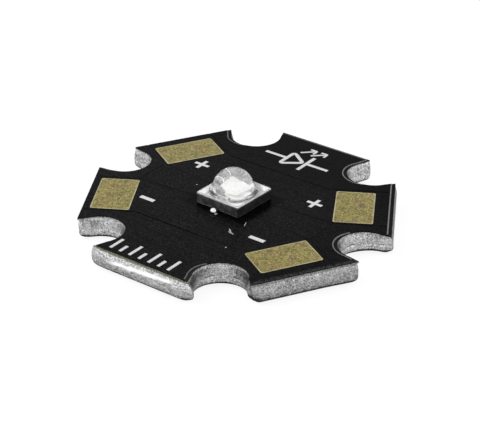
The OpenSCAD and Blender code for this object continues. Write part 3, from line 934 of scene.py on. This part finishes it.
def makeWallTree():
    source = startTree("punched wall", **wallValues())
    centre = geo("Points", {"Count": source["copies"]})
    turn = times(geo("InputIndex").outputs[0], turnStep)
    spin = addNode("FunctionNodeAxisAngleToRotation", {"Axis": (0, 0, 1), "Angle": turn})
    copies = geo("InstanceOnPoints",
                 {"Points": centre, "Instance": source["Geometry"], "Rotation": spin})
    ring = geo("RealizeInstances", {0: copies})
    ring = geo("MergeByDistance", {"Geometry": ring, "Distance": core["weld"] * mm})

    place = vector("SCALE", geo("InputPosition").outputs[0], Scale=1 / mm)
    x, y, z = axesOf(place)
    flat = addNode("ShaderNodeCombineXYZ", {"X": x, "Y": y, "Z": core["slice"]})
    patches = grain(flat, core["patchSize"], 4.0, 0.7)
    wander = times(times(minus(patches, 0.5), source["crackWander"]), 2.0)
    below = minus(plus(source["crackHeight"], wander), z)
    torn = remap(below, *core["tornSpan"], soft=True)
    dirty = vector("DOT_PRODUCT", place, core["dirtyWay"])
    presence = times(remap(patches, *core["patchShare"]), remap(dirty, *core["dirtyShare"]))

    # The worn flat lies further in, and some flats hardly swell
    belowTop = fall(z, core["swellHeight"], core["height"], soft=True)
    middle = times(remap(z, *core["calmFoot"], soft=True), belowTop)
    inner = fall(z, core["height"] - core["topHeight"], core["height"] - core["wornTop"])
    rolled = times(fall(z, 0.0, core["wornFootHeight"], soft=True), source["wornFoot"])
    pulls = {angle: times(middle, source["calmSwell"]) for angle in core["calmFlats"]}
    pulls[wornFlat] = times(inner, plus(source["wornPull"], rolled))
    pulled = (0, 0, 0)
    for angle, pull in pulls.items():
        across = (cos(angle), sin(angle), 0)
        near = remap(vector("DOT_PRODUCT", place, across), *core["flatSpan"], soft=True)
        if angle == wornFlat:
            worn = near
        pulled = vector("SUBTRACT", pulled, vector("SCALE", across, Scale=times(near, pull)))

    front = calc("LESS_THAN", y, times(source["flatAt"], -1.0))
    presence = times(presence, remap(calc("MAXIMUM", worn, front), 0, 1, 1.0, source["wornCrack"]))

    # A narrow line along the crack, or its bright lower lip
    def along(offset):
        away = calc("DIVIDE", minus(below, offset), source["crackWidth"])
        return times(calc("DIVIDE", 1.0, plus(1.0, calc("POWER", away, 2.0))), presence)

    dent, lip = along(0.0), along(core["lipBelow"])

    # The burnished band on the front flat, where a highlight is painted
    start, end = core["shineEnds"]
    ends = times(remap(x, source["shineFrom"], plus(source["shineFrom"], start)),
                 fall(x, minus(source["shineTo"], end), source["shineTo"]))
    ragged = grain(vector("MULTIPLY", place, core["bandStretch"]), 1.0, 4.0, 0.65)
    uneven, soft = core["bandRagged"], core["shineSoft"]
    ragged = minus(plus(z, spread(ragged, -uneven, uneven)), times(x, source["shineTilt"]))
    band = times(remap(ragged, source["shineLow"], plus(source["shineLow"], soft), soft=True),
                 fall(ragged, minus(source["shineHigh"], soft), source["shineHigh"], soft=True))
    burnishAndHighlight = times(times(ends, band), front)

    drag = times(grain(vector("MULTIPLY", place, core["dragStretch"]), 1.0, 3.0), source["dragDepth"])
    rough = times(grain(place, *core["tornGrain"]), source["tornDepth"])
    rough = times(rough, remap(torn, 0, 1, core["wholeDepth"], 1.0))
    depth = plus(times(dent, source["crackDepth"]), plus(drag, rough))
    depth = times(depth, remap(burnishAndHighlight, 0, 1, 1.0, core["shineDepth"]))
    normal = geo("InputNormal").outputs[0]
    shift = vector("ADD", vector("SCALE", normal, Scale=times(depth, -1.0)), pulled)
    stored = {"torn": torn, "dent": dent, "lip": lip, "worn": worn, "front": front, "burnishAndHighlight": burnishAndHighlight}
    for name, value in stored.items():
        ring = geo("StoreNamedAttribute", {"Geometry": ring, "Name": name, "Value": value})

    # Bent corners
    rise = calc("DIVIDE", z, core["height"])
    lean = minus(1.0, calc("POWER", rise, core["bend"]))
    for cx, cy, reach, high, low in core["nudges"]:
        near = fall(vector("DISTANCE", flat, (cx, cy, core["slice"])), 0, reach, soft=True)
        for way, share in ((high, rise), (low, lean)):
            shift = vector("ADD", shift, vector("SCALE", (*way, 0), Scale=times(near, share)))
    ring = geo("SetPosition", {"Geometry": ring, "Offset": vector("SCALE", shift, Scale=mm)})
    return endTree(source, ring)


def makeCore():
    height = core["height"]
    rows = core["rows"]
    points = []
    for row in range(rows + 1):
        z = height * (row / rows) ** core["rowPower"]
        outline = wholeNotch(wallInset(z), cornerRound(z), core["columns"])
        points += raised(outline, z)
    wedge = newMesh("wall wedge", points, rowFaces(rows + 1, len(outline), closed=False))
    wall = runTree("punched_core", wedge, makeWallTree(), sideAluminium, **wallValues())
    mesh = bmesh.new()
    mesh.from_mesh(wall.data)
    rims = [e for e in mesh.edges if e.is_boundary]
    for vertex in {v for e in rims for v in e.verts}:
        vertex.co.z = height * mm if vertex.co.z > height * mm / 2 else 0
    caps = bmesh.ops.holes_fill(mesh, edges=rims, sides=0)["faces"]
    for face in mesh.faces:
        face.smooth = True
    for face in caps:
        face.material_index = 1
        face.smooth = False
    for edge in rims:
        edge.smooth = False
    bmesh.ops.triangulate(mesh, faces=caps)
    mesh.to_mesh(wall.data)
    mesh.free()
    wall.data.materials.append(underAluminium)
    settle(wall, "core", "base_plate")


sideAluminium = makeSideAluminium()
underAluminium = makeUnderAluminium()
insulation = makeInsulation()
copper = makePlain("etched copper")
mask = makeMask()
thinMaskHighlight = makeThinMaskHighlight()
gold = makeGold()
contactGold = makePlain("plated contacts")
ink = makeInk()
solder = makeSolder()
fluxAndReflections = makePlain("flux and painted reflections")
ceramic = makeCeramic()
silver = makeSilver()
chip = makeChip()
silicon = makePlain("protection chip")
wireMetal = makePlain("bright wire")
silicone = makeSilicone()
print("materials made")

makeCore()
print("core made")

# The thin line where the mask steps down over the copper's edge, pale where the mask thins and as a painted
# highlight
copperEdge = {
    "outside": 0.1,  # mm past the artwork's nominal outline
    "slip": (-0.3, -0.24),
    "thickness": 0.05,
    "sides": 8,
    "margin": 0.02,  # no line closer than this to the punched edge
    "wornMargin": 0.3,  # nor than this to the worn flat
    "corner": 0.02,
    "columns": (20, 6, 2, 28),
    "above": 0.002,  # the copper
    "shortest": 4,  # points in a line
}


def makeRidgeTree():
    source = startTree("ridge along a path", Thickness=0.03, Sides=8)
    radius = times(source["Thickness"], mm)
    ring = geo("CurvePrimitiveCircle", {"Resolution": source["Sides"], "Radius": radius}).outputs["Curve"]
    swept = geo("CurveToMesh", {"Curve": source["Geometry"], "Profile Curve": ring, "Fill Caps": True})
    smooth = geo("SetShadeSmooth", {"Geometry": swept})
    return endTree(source, smooth)


ridgeTree = makeRidgeTree()


def layRidge(name, runs, material, thickness, sides, *settled):
    path = polyline(name + " path", runs)
    settle(runTree(name, path, ridgeTree, material, Thickness=thickness, Sides=sides), *settled)


def makeCopperEdge():
    edge = copperEdge
    around = []
    for k in range(6):
        notch = wholeNotch(-edge["outside"], edge["corner"], edge["columns"])
        around += placedAt(notch[:-1], k * turnStep)
    level = topOf("copper_plus") + edge["above"]
    runs, run = [], []
    for x, y in around + around[:1]:
        x, y = x + edge["slip"][0], y + edge["slip"][1]
        fromWorn = halfAcross - turned(x, y, -wornFlat)[0]
        if insideBy(x, y) > edge["margin"] and fromWorn > edge["wornMargin"]:
            run.append((x, y, level))
        else:
            runs.append(run)
            run = []
    runs = [line for line in runs + [run] if len(line) >= edge["shortest"]]
    layRidge("mask_over_copper_edge", runs, thinMaskHighlight, edge["thickness"], edge["sides"], "mask")


makeCopperEdge()
print("copper edge made")


# Wire pads with a soft lighter rim, a painted highlight
pads = {
    "angles": {"wire_pad_plus_right": 30, "wire_pad_plus_left": 150, "wire_pad_minus_left": 210,
               "wire_pad_minus_right": -30},
    "depth": 2.596,  # they fill the openings in the mask
    "length": 4.183,
    "round": 0.15,
    "leastRound": 0.03,
    "rim": 0.1,
    "rimInner": 0.06,  # to here the rim stays pale with the painted highlight
    "edge": 0.015,
}


def makePad(node, angle):
    low, high = footOf(node), topOf(node)
    edge = pads["edge"]
    sections = ((0, low, 1.0), (0, high - edge, 1.0), (edge, high, 1.0), (pads["rimInner"], high, 0.8),
                (pads["rim"], high, 0.0))
    loops = []
    for inset, z, rim in sections:
        width, length = pads["depth"] - 2 * inset, pads["length"] - 2 * inset
        outline = roundedRect(width, length, max(pads["leastRound"], pads["round"] - inset))
        loops.append(raised(placedAt(outline, radians(angle), middleOf(node)), z))
    pad = loft(node.replace("wire_pad", "gold_pad"), loops, gold, [s[2] for s in sections])
    settle(pad, "gold", node)


for node, angle in pads["angles"].items():
    makePad(node, angle)
print("pads made")


# White print: the four signs, a plain led symbol and a row of short strokes
printing = {
    "ink": 0.012,  # mm thick
    "cornerPoints": 6,
    "signLength": 1.14,
    "plusStroke": 0.24,
    "minusStroke": 0.32,
    "minusRound": 0.02,
    "plus": ((4.17, 2.53), (-5.12, 2.55)),
    "minus": ((-4.95, -3.45), (3.92, -3.45)),
}


def makeSigns():
    half, arm = printing["signLength"] / 2, printing["plusStroke"] / 2
    corner = [(half, -arm), (half, arm), (arm, arm)]
    cross = [point for q in range(4) for point in placedAt(corner, radians(90 * q))]
    bar = roundedRect(printing["signLength"], printing["minusStroke"], printing["minusRound"], 3)
    for sign, outline in (("plus", cross), ("minus", bar)):
        for i, middle in enumerate(printing[sign]):
            placed = placedAt(outline, middle=middle)
            loops = [raised(placed, z) for z in (maskTop, maskTop + printing["ink"])]
            settle(loft(f"{sign}_sign_{i + 1}", loops, ink), "mask")


makeSigns()

symbol = {
    "middle": (-0.3, 6.85),
    "stroke": 0.26,
    "half": 0.95,  # half the triangle's height
    "wide": 1.6,  # from the triangle's base to the bar
    "lead": 1.75,
    "arrows": (-0.5, 0.35),
    "arrow": (0.85, 0.8, 0.5),  # its reach along X and Y and the length of its barbs
    "arrowStroke": 0.17,
    "arrowGap": 0.25,  # from the triangle's height to the arrows' feet
    "overhang": 0.1,  # of the bar past the triangle
    "roundShare": 0.55,  # of a stroke's width
    "step": 0.0007,  # each stroke lies this much higher than the last
}


def makeStrokeTree():
    source = startTree("printed strokes", Stroke=0.3, Ink=0.01, Corner=0.08)
    radius, width, height = [times(source[name], mm) for name in ("Corner", "Stroke", "Ink")]
    rounded = geo("FilletCurve",
                  {"Curve": source["Geometry"], "Radius": radius, "Count": printing["cornerPoints"]},
                  mode="POLY")
    upright = geo("SetCurveNormal", {"Curve": rounded}, mode="Z_UP")
    section = geo("CurvePrimitiveQuadrilateral", {"Width": width, "Height": height})
    swept = geo("CurveToMesh", {"Curve": upright, "Profile Curve": section, "Fill Caps": True})
    return endTree(source, swept)


strokeTree = makeStrokeTree()


# Strokes along runs of points, each this much higher than the last
def printStrokes(name, runs, width, corner, step=0.0):
    z = maskTop + printing["ink"] / 2
    placed = [raised(run, z + i * step) for i, run in enumerate(runs)]
    settle(runTree(name, polyline(name + " strokes", placed), strokeTree, ink, Stroke=width,
                   Ink=printing["ink"], Corner=corner), "mask")


def makeSymbol():
    h, half = symbol["half"], symbol["wide"] / 2
    lead, stroke = symbol["lead"], symbol["stroke"]
    triangle = [(-half, 0), (-half, h), (half - stroke, 0), (-half, -h), (-half, 0)]
    tall, foot = h + symbol["overhang"], h + symbol["arrowGap"]
    leads = [[(-half - lead, 0), (-half, 0)], [(half, 0), (half + lead, 0)]]
    runs = [triangle, [(half, tall), (half, -tall)], *leads]
    dx, dy, barb = symbol["arrow"]
    arrows = []
    for x in symbol["arrows"]:
        tipX, tipY = x + dx, foot + dy
        arrows.append([(x, foot), (tipX, tipY)])
        arrows.append([(tipX - barb, tipY), (tipX, tipY), (tipX, tipY - barb)])
    for name, strokes, width in (("symbol", runs, stroke), ("arrows", arrows, symbol["arrowStroke"])):
        placed = [placedAt(run, middle=symbol["middle"]) for run in strokes]
        printStrokes("led_" + name, placed, width, width * symbol["roundShare"], symbol["step"])


makeSymbol()

# A row of short strokes by the front edge
ticks = {
    "middle": (-0.42, -9.08),
    "count": 7,
    "pitch": 0.76,
    "long": 1.25,
    "short": 0.75,
    "stroke": 0.22,
    "corner": 0.02,
}


def makeTicks():
    cx, cy = ticks["middle"]
    foot = cy - ticks["long"] / 2
    runs = []
    for i in range(ticks["count"]):
        x = cx + (i - (ticks["count"] - 1) / 2) * ticks["pitch"]
        runs.append([(x, foot), (x, foot + (ticks["short"] if i % 2 else ticks["long"]))])
    printStrokes("front_ticks", runs, ticks["stroke"], ticks["corner"])


makeTicks()
print("print made")


package = {
    "side": 3.49,
    "foot": 0.045,  # mm that the ceramic reaches down past its contacts
    "corner": 0.07,
    "cornerPull": (0.45, 0.1),  # shares of the corner that a point moves in and along
    "edge": 0.035,
    "rimShare": 2.5,  # of the edge's height, to where the foot is pale with a painted highlight
    "topShare": 0.7,  # of the edge's width at the top
    "chips": 0.02,
    "chipSize": 0.2,
    "levels": 8,
    "columns": 46,  # along each side
}


def makeCeramicBody():
    low, high = footOf("ceramic_body") - package["foot"], topOf("ceramic_body")
    edge, side = package["edge"], package["side"]
    # Inset, height and share of the pale rim, a painted highlight
    levels = [(edge, low, 1.0), (0, low + edge, 0.7), (0, low + edge * package["rimShare"], 0.0)]
    share = (high - low - 2 * edge) / (package["levels"] + 1)
    levels += [(0, low + edge + share * (i + 1), 0.0) for i in range(package["levels"])]
    levels += [(0, high - edge, 0.4), (edge * package["topShare"], high, 1.0)]
    perSide = package["columns"]
    pullIn, pullAlong = package["cornerPull"]
    loops = []
    for inset, z, rim in levels:
        half = side / 2 - inset
        loop = []
        for quarter in range(4):
            for i in range(perSide):
                along = -half + 2 * half * i / perSide
                x, y = half, along
                reach = half - package["corner"]
                if abs(along) > reach:
                    over = (abs(along) - reach) / package["corner"]
                    x -= package["corner"] * pullIn * over * over
                    y -= copysign(package["corner"] * pullAlong * over, along)
                px, py = turned(x, y, radians(90 * quarter))
                unevenness = noise.noise(Vector((px, py, z)) / package["chipSize"])
                bite = package["chips"] * (0.5 + 0.5 * unevenness)
                scale = 1 - bite / half
                loop.append(atPackage(px * scale, py * scale, z))
        loops.append(loop)
    body = loft("ceramic_block", loops, ceramic, [l[2] for l in levels], sharp=50)
    settle(body, "ceramic", "ceramic_body")


makeCeramicBody()


# How far the film's square reaches at this angle
def squareReach(angle, half):
    c, s = abs(cos(angle)), abs(sin(angle))
    return min(half / max(c, s), (2 * half - lens["filmCorner"]) / (c + s))


def makeLens():
    film = topOf("lens") - lens["domeRadius"] - lens["ringHeight"]
    domeZ = film + lens["ringHeight"]
    floorZ = topOf("ceramic_body") - lens["sink"]
    dome, ring = lens["domeRadius"], lens["ringRadius"]
    half = package["side"] / 2 - lens["filmIn"]
    count = lens["segments"]
    angles = [2 * pi * i / count for i in range(count)]
    sections = []
    edge = lens["filmEdge"]
    rounded = edge * lens["edgeShare"]
    for reach, z in ((half, floorZ), (half, film - edge), (half - rounded, film - rounded),
                     (half - edge, film)):
        sections.append((0, [(squareReach(a, reach), z) for a in angles]))
    inner = ring + lens["pastRing"]
    for step in lens["filmSteps"]:
        reach = [inner + (squareReach(a, half - edge) - inner) * step for a in angles]
        sections.append((1 - step, [(r, film) for r in reach]))
    profile = [(ring + out, film + up) for out, up in lens["ringFoot"]]
    profile += [(ring + out, domeZ + up) for out, up in lens["ringTop"]]
    profile += [(dome + out, domeZ + up) for out, up in lens["domeFoot"]]
    for i in range(2, lens["arcSteps"]):
        lift = radians(90) * i / lens["arcSteps"]
        profile.append((dome * cos(lift), domeZ + dome * sin(lift)))
    sections += [(1, [(r, z)] * count) for r, z in profile]
    slipX, slipY = lens["slip"]
    points = []
    for share, section in sections:
        for a, (r, z) in zip(angles, section):
            x, y = r * cos(a) + share * slipX, r * sin(a) + share * slipY
            if z == film and r > inner:
                z += lens["ripple"] * noise.noise(Vector((x, y, 0.5)) / lens["rippleSize"])
            points.append(atPackage(x, y, z))
    top = len(points)
    last = top - count
    faces = [(last + i, last + (i + 1) % count, top) for i in range(count)]
    points.append(atPackage(slipX, slipY, domeZ + dome))
    mesh = newMesh("clear_lens", points, tubeFaces(len(sections), count) + faces)
    mesh.shade_smooth()
    mesh.set_sharp_from_angle(angle=radians(60))
    settle(addObject("clear_lens", mesh, silicone), "lens", "lens")


makeLens()

wires = {
    "thickness": 0.02,
    "sides": 10,
    "steps": 14,
    "places": (0.05, 0.55),  # along Y
    "fromX": -0.59,
    "landX": -1.25,
    "crest": 0.15,  # how far past its start each loop is highest
    "rise": 0.26,
    "guardRise": 0.1,
}


# A wire from its start over its crest to its end
def wirePath(places):
    return [tuple(p) for p in bend(*[Vector(p) for p in places], wires["steps"])]


def makeWires():
    chipTop, guardTop, metalTop = topOf("led_chip"), topOf("guard_chip"), topOf("top_metal_plus")
    low, fromX, landX, crest = metalTop + wires["thickness"], wires["fromX"], wires["landX"], wires["crest"]
    runs = []
    for y in wires["places"]:
        places = ((fromX, y, chipTop), (fromX - crest, y, chipTop + 2 * wires["rise"]), (landX, y, low))
        runs.append(wirePath([atPackage(*p) for p in places]))
    thickness, sides = wires["thickness"], wires["sides"]
    layRidge("looped_bond_wires", runs, wireMetal, thickness, sides, "gold", "bond_wires")
    x, y, z = [v / mm for v in (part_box("guard_chip")[0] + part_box("guard_chip")[1]) / 2]
    places = ((x, y, guardTop), (x, y + crest, guardTop + 2 * wires["guardRise"]),
              (x, packageMiddle[1] - landX, low))
    layRidge("looped_guard_wire", [wirePath(places)], wireMetal, thickness, sides, "gold", "guard_wire")


makeWires()
print("package made")

# CAD nodes that keep their own shape, by how their names start
kept = {"insulation_": insulation, "copper_": copper, "solder_": solder, "solder_mask": mask,
        "contact_": contactGold, "feeds_": contactGold, "top_metal_": silver, "led_chip": chip,
        "guard_chip": silicon}
for start, material in kept.items():
    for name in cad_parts:
        if name.startswith(start):
            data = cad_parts[name].data
            data.materials.clear()
            data.materials.append(material)

# Small drops round the package: the first three are painted reflections of the dome's highlights in the
# mask, the rest specks of solder and flux
splashes = {
    "segments": 16,
    "rings": 8,
    "drops": (  # x, y, length, width, height, turn in degrees
        # painted reflections of the dome's highlights
        (1.93, -3.58, 0.5, 0.11, 0.05, -43),
        (2.16, -3.8, 0.54, 0.09, 0.05, -11),
        (2.2, -2.35, 0.6, 0.06, 0.04, 112),
        # specks of solder and flux
        (-0.08, -2.42, 0.22, 0.12, 0.06, 70),
        (3.0, -5.42, 0.12, 0.1, 0.03, 0),
        (-3.58, 0.03, 0.12, 0.08, 0.03, 20),
    ),
}


def makeSplashTree():
    source = startTree("drops on points", Rings=splashes["rings"])
    radius = 0.5 * mm  # the points carry each drop's size in millimetres
    ball = geo("MeshUVSphere",
               {"Segments": splashes["segments"], "Rings": source["Rings"], "Radius": radius})
    size = geo("InputNamedAttribute", {"Name": "size"}, data_type="FLOAT_VECTOR")
    turn = geo("InputNamedAttribute", {"Name": "turn"}, data_type="FLOAT")
    spin = addNode("FunctionNodeAxisAngleToRotation", {"Axis": (0, 0, 1), "Angle": turn.outputs[0]})
    drops = geo("InstanceOnPoints",
                {"Points": source["Geometry"], "Instance": ball, "Rotation": spin, "Scale": size})
    whole = geo("RealizeInstances", {0: drops})
    smooth = geo("SetShadeSmooth", {"Geometry": whole})
    return endTree(source, smooth)


def makeSplashes():
    drops = splashes["drops"]
    mesh = newMesh("drop places", [(x, y, maskTop) for x, y, *rest in drops])
    # Half of each ball is below the mask, so it is twice the drop's height
    sizes = [size for x, y, length, width, height, turn in drops for size in (length, width, height * 2)]
    store(mesh, "size", sizes, "FLOAT_VECTOR", "vector")
    store(mesh, "turn", [radians(drop[-1]) for drop in drops])
    piece = runTree("flux_and_reflection_drops", mesh, makeSplashTree(), fluxAndReflections, Rings=splashes["rings"])
    settle(piece, "solder")


makeSplashes()
print("drops made")


# Camera at the photograph's viewing angle
photoCamera = {
    "azimuth": 36.9,
    "elevation": 28.8,
    "distance": 102.07,  # mm
    "aim": (0.37, -0.466, 1.0),
    "lens": 117.8,
}


def makeCamera():
    look = photoCamera
    a, e = radians(look["azimuth"]), radians(look["elevation"])
    back = Vector((sin(a) * cos(e), -cos(a) * cos(e), sin(e)))
    data = bpy.data.cameras.new("photo camera")
    data.lens = look["lens"]
    data.clip_start, data.clip_end = 0.001, 10
    camera = placeObject("photo camera", data)
    camera.location = (Vector(look["aim"]) + back * look["distance"]) * mm
    camera.rotation_euler = (-back).to_track_quat("-Z", "Y").to_euler()
    bpy.context.scene.camera = camera


makeCamera()

# Studio: pale floor, white surroundings, two soft lamps
studio = {
    "floorSize": 1.2,  # m
    "floorBelow": 0.01,  # mm
    "floorGlow": 0.88,
    "floorPaint": 0.18,
    "floorTone": 0.8,  # for the light that it throws back
    "skyLight": 0.6,
    "keyPlace": (-90, -80, 150),
    "keySize": 100,
    "keyPower": 0.12,
    "rimPlace": (120, 60, 90),
    "rimSize": 60,
    "rimPower": 0.04,
}


def seenDirectly():
    path = addNode("ShaderNodeLightPath").outputs
    seen = calc("MAXIMUM", path["Is Camera Ray"], path["Is Glossy Ray"])
    return calc("MAXIMUM", seen, path["Is Transmission Ray"])


def makeFloor():
    half = studio["floorSize"] / 2 / mm
    corners = ((-half, -half), (half, -half), (half, half), (-half, half))
    mesh = newMesh("floor", [(x, y, -studio["floorBelow"]) for x, y in corners], [(0, 1, 2, 3)])
    material = openTree(bpy.data.materials.new("pale floor"))
    trees[-1].nodes.clear()
    plain = addNode("ShaderNodeBsdfDiffuse", {"Color": shade(studio["floorTone"])})
    lit = addNode("ShaderNodeBsdfDiffuse", {"Color": shade(studio["floorPaint"])})
    glow = addNode("ShaderNodeEmission", {"Color": shade(1), "Strength": studio["floorGlow"]})
    white = addNode("ShaderNodeAddShader", {0: lit, 1: glow})
    mixed = addNode("ShaderNodeMixShader", {"Fac": seenDirectly(), 1: plain, 2: white})
    addNode("ShaderNodeOutputMaterial", {"Surface": mixed})
    addObject("floor", mesh, material)


def makeSky():
    bpy.context.scene.world = openTree(bpy.data.worlds.new("white studio"))
    strength = remap(seenDirectly(), 0, 1, studio["skyLight"], 1.0)
    feed(trees[-1].nodes["Background"], {"Color": shade(1), "Strength": strength})


def makeLamp(name):
    data = bpy.data.lights.new(name + " lamp", "AREA")
    data.size = studio[name + "Size"] * mm
    data.energy = studio[name + "Power"]
    lamp = placeObject(name + " lamp", data)
    place = Vector(studio[name + "Place"])
    lamp.location = place * mm
    lamp.rotation_euler = place.to_track_quat("Z", "Y").to_euler()


makeFloor()
makeSky()
makeLamp("key")
makeLamp("rim")
bpy.context.scene.view_settings.view_transform = "Standard"
print("studio made")
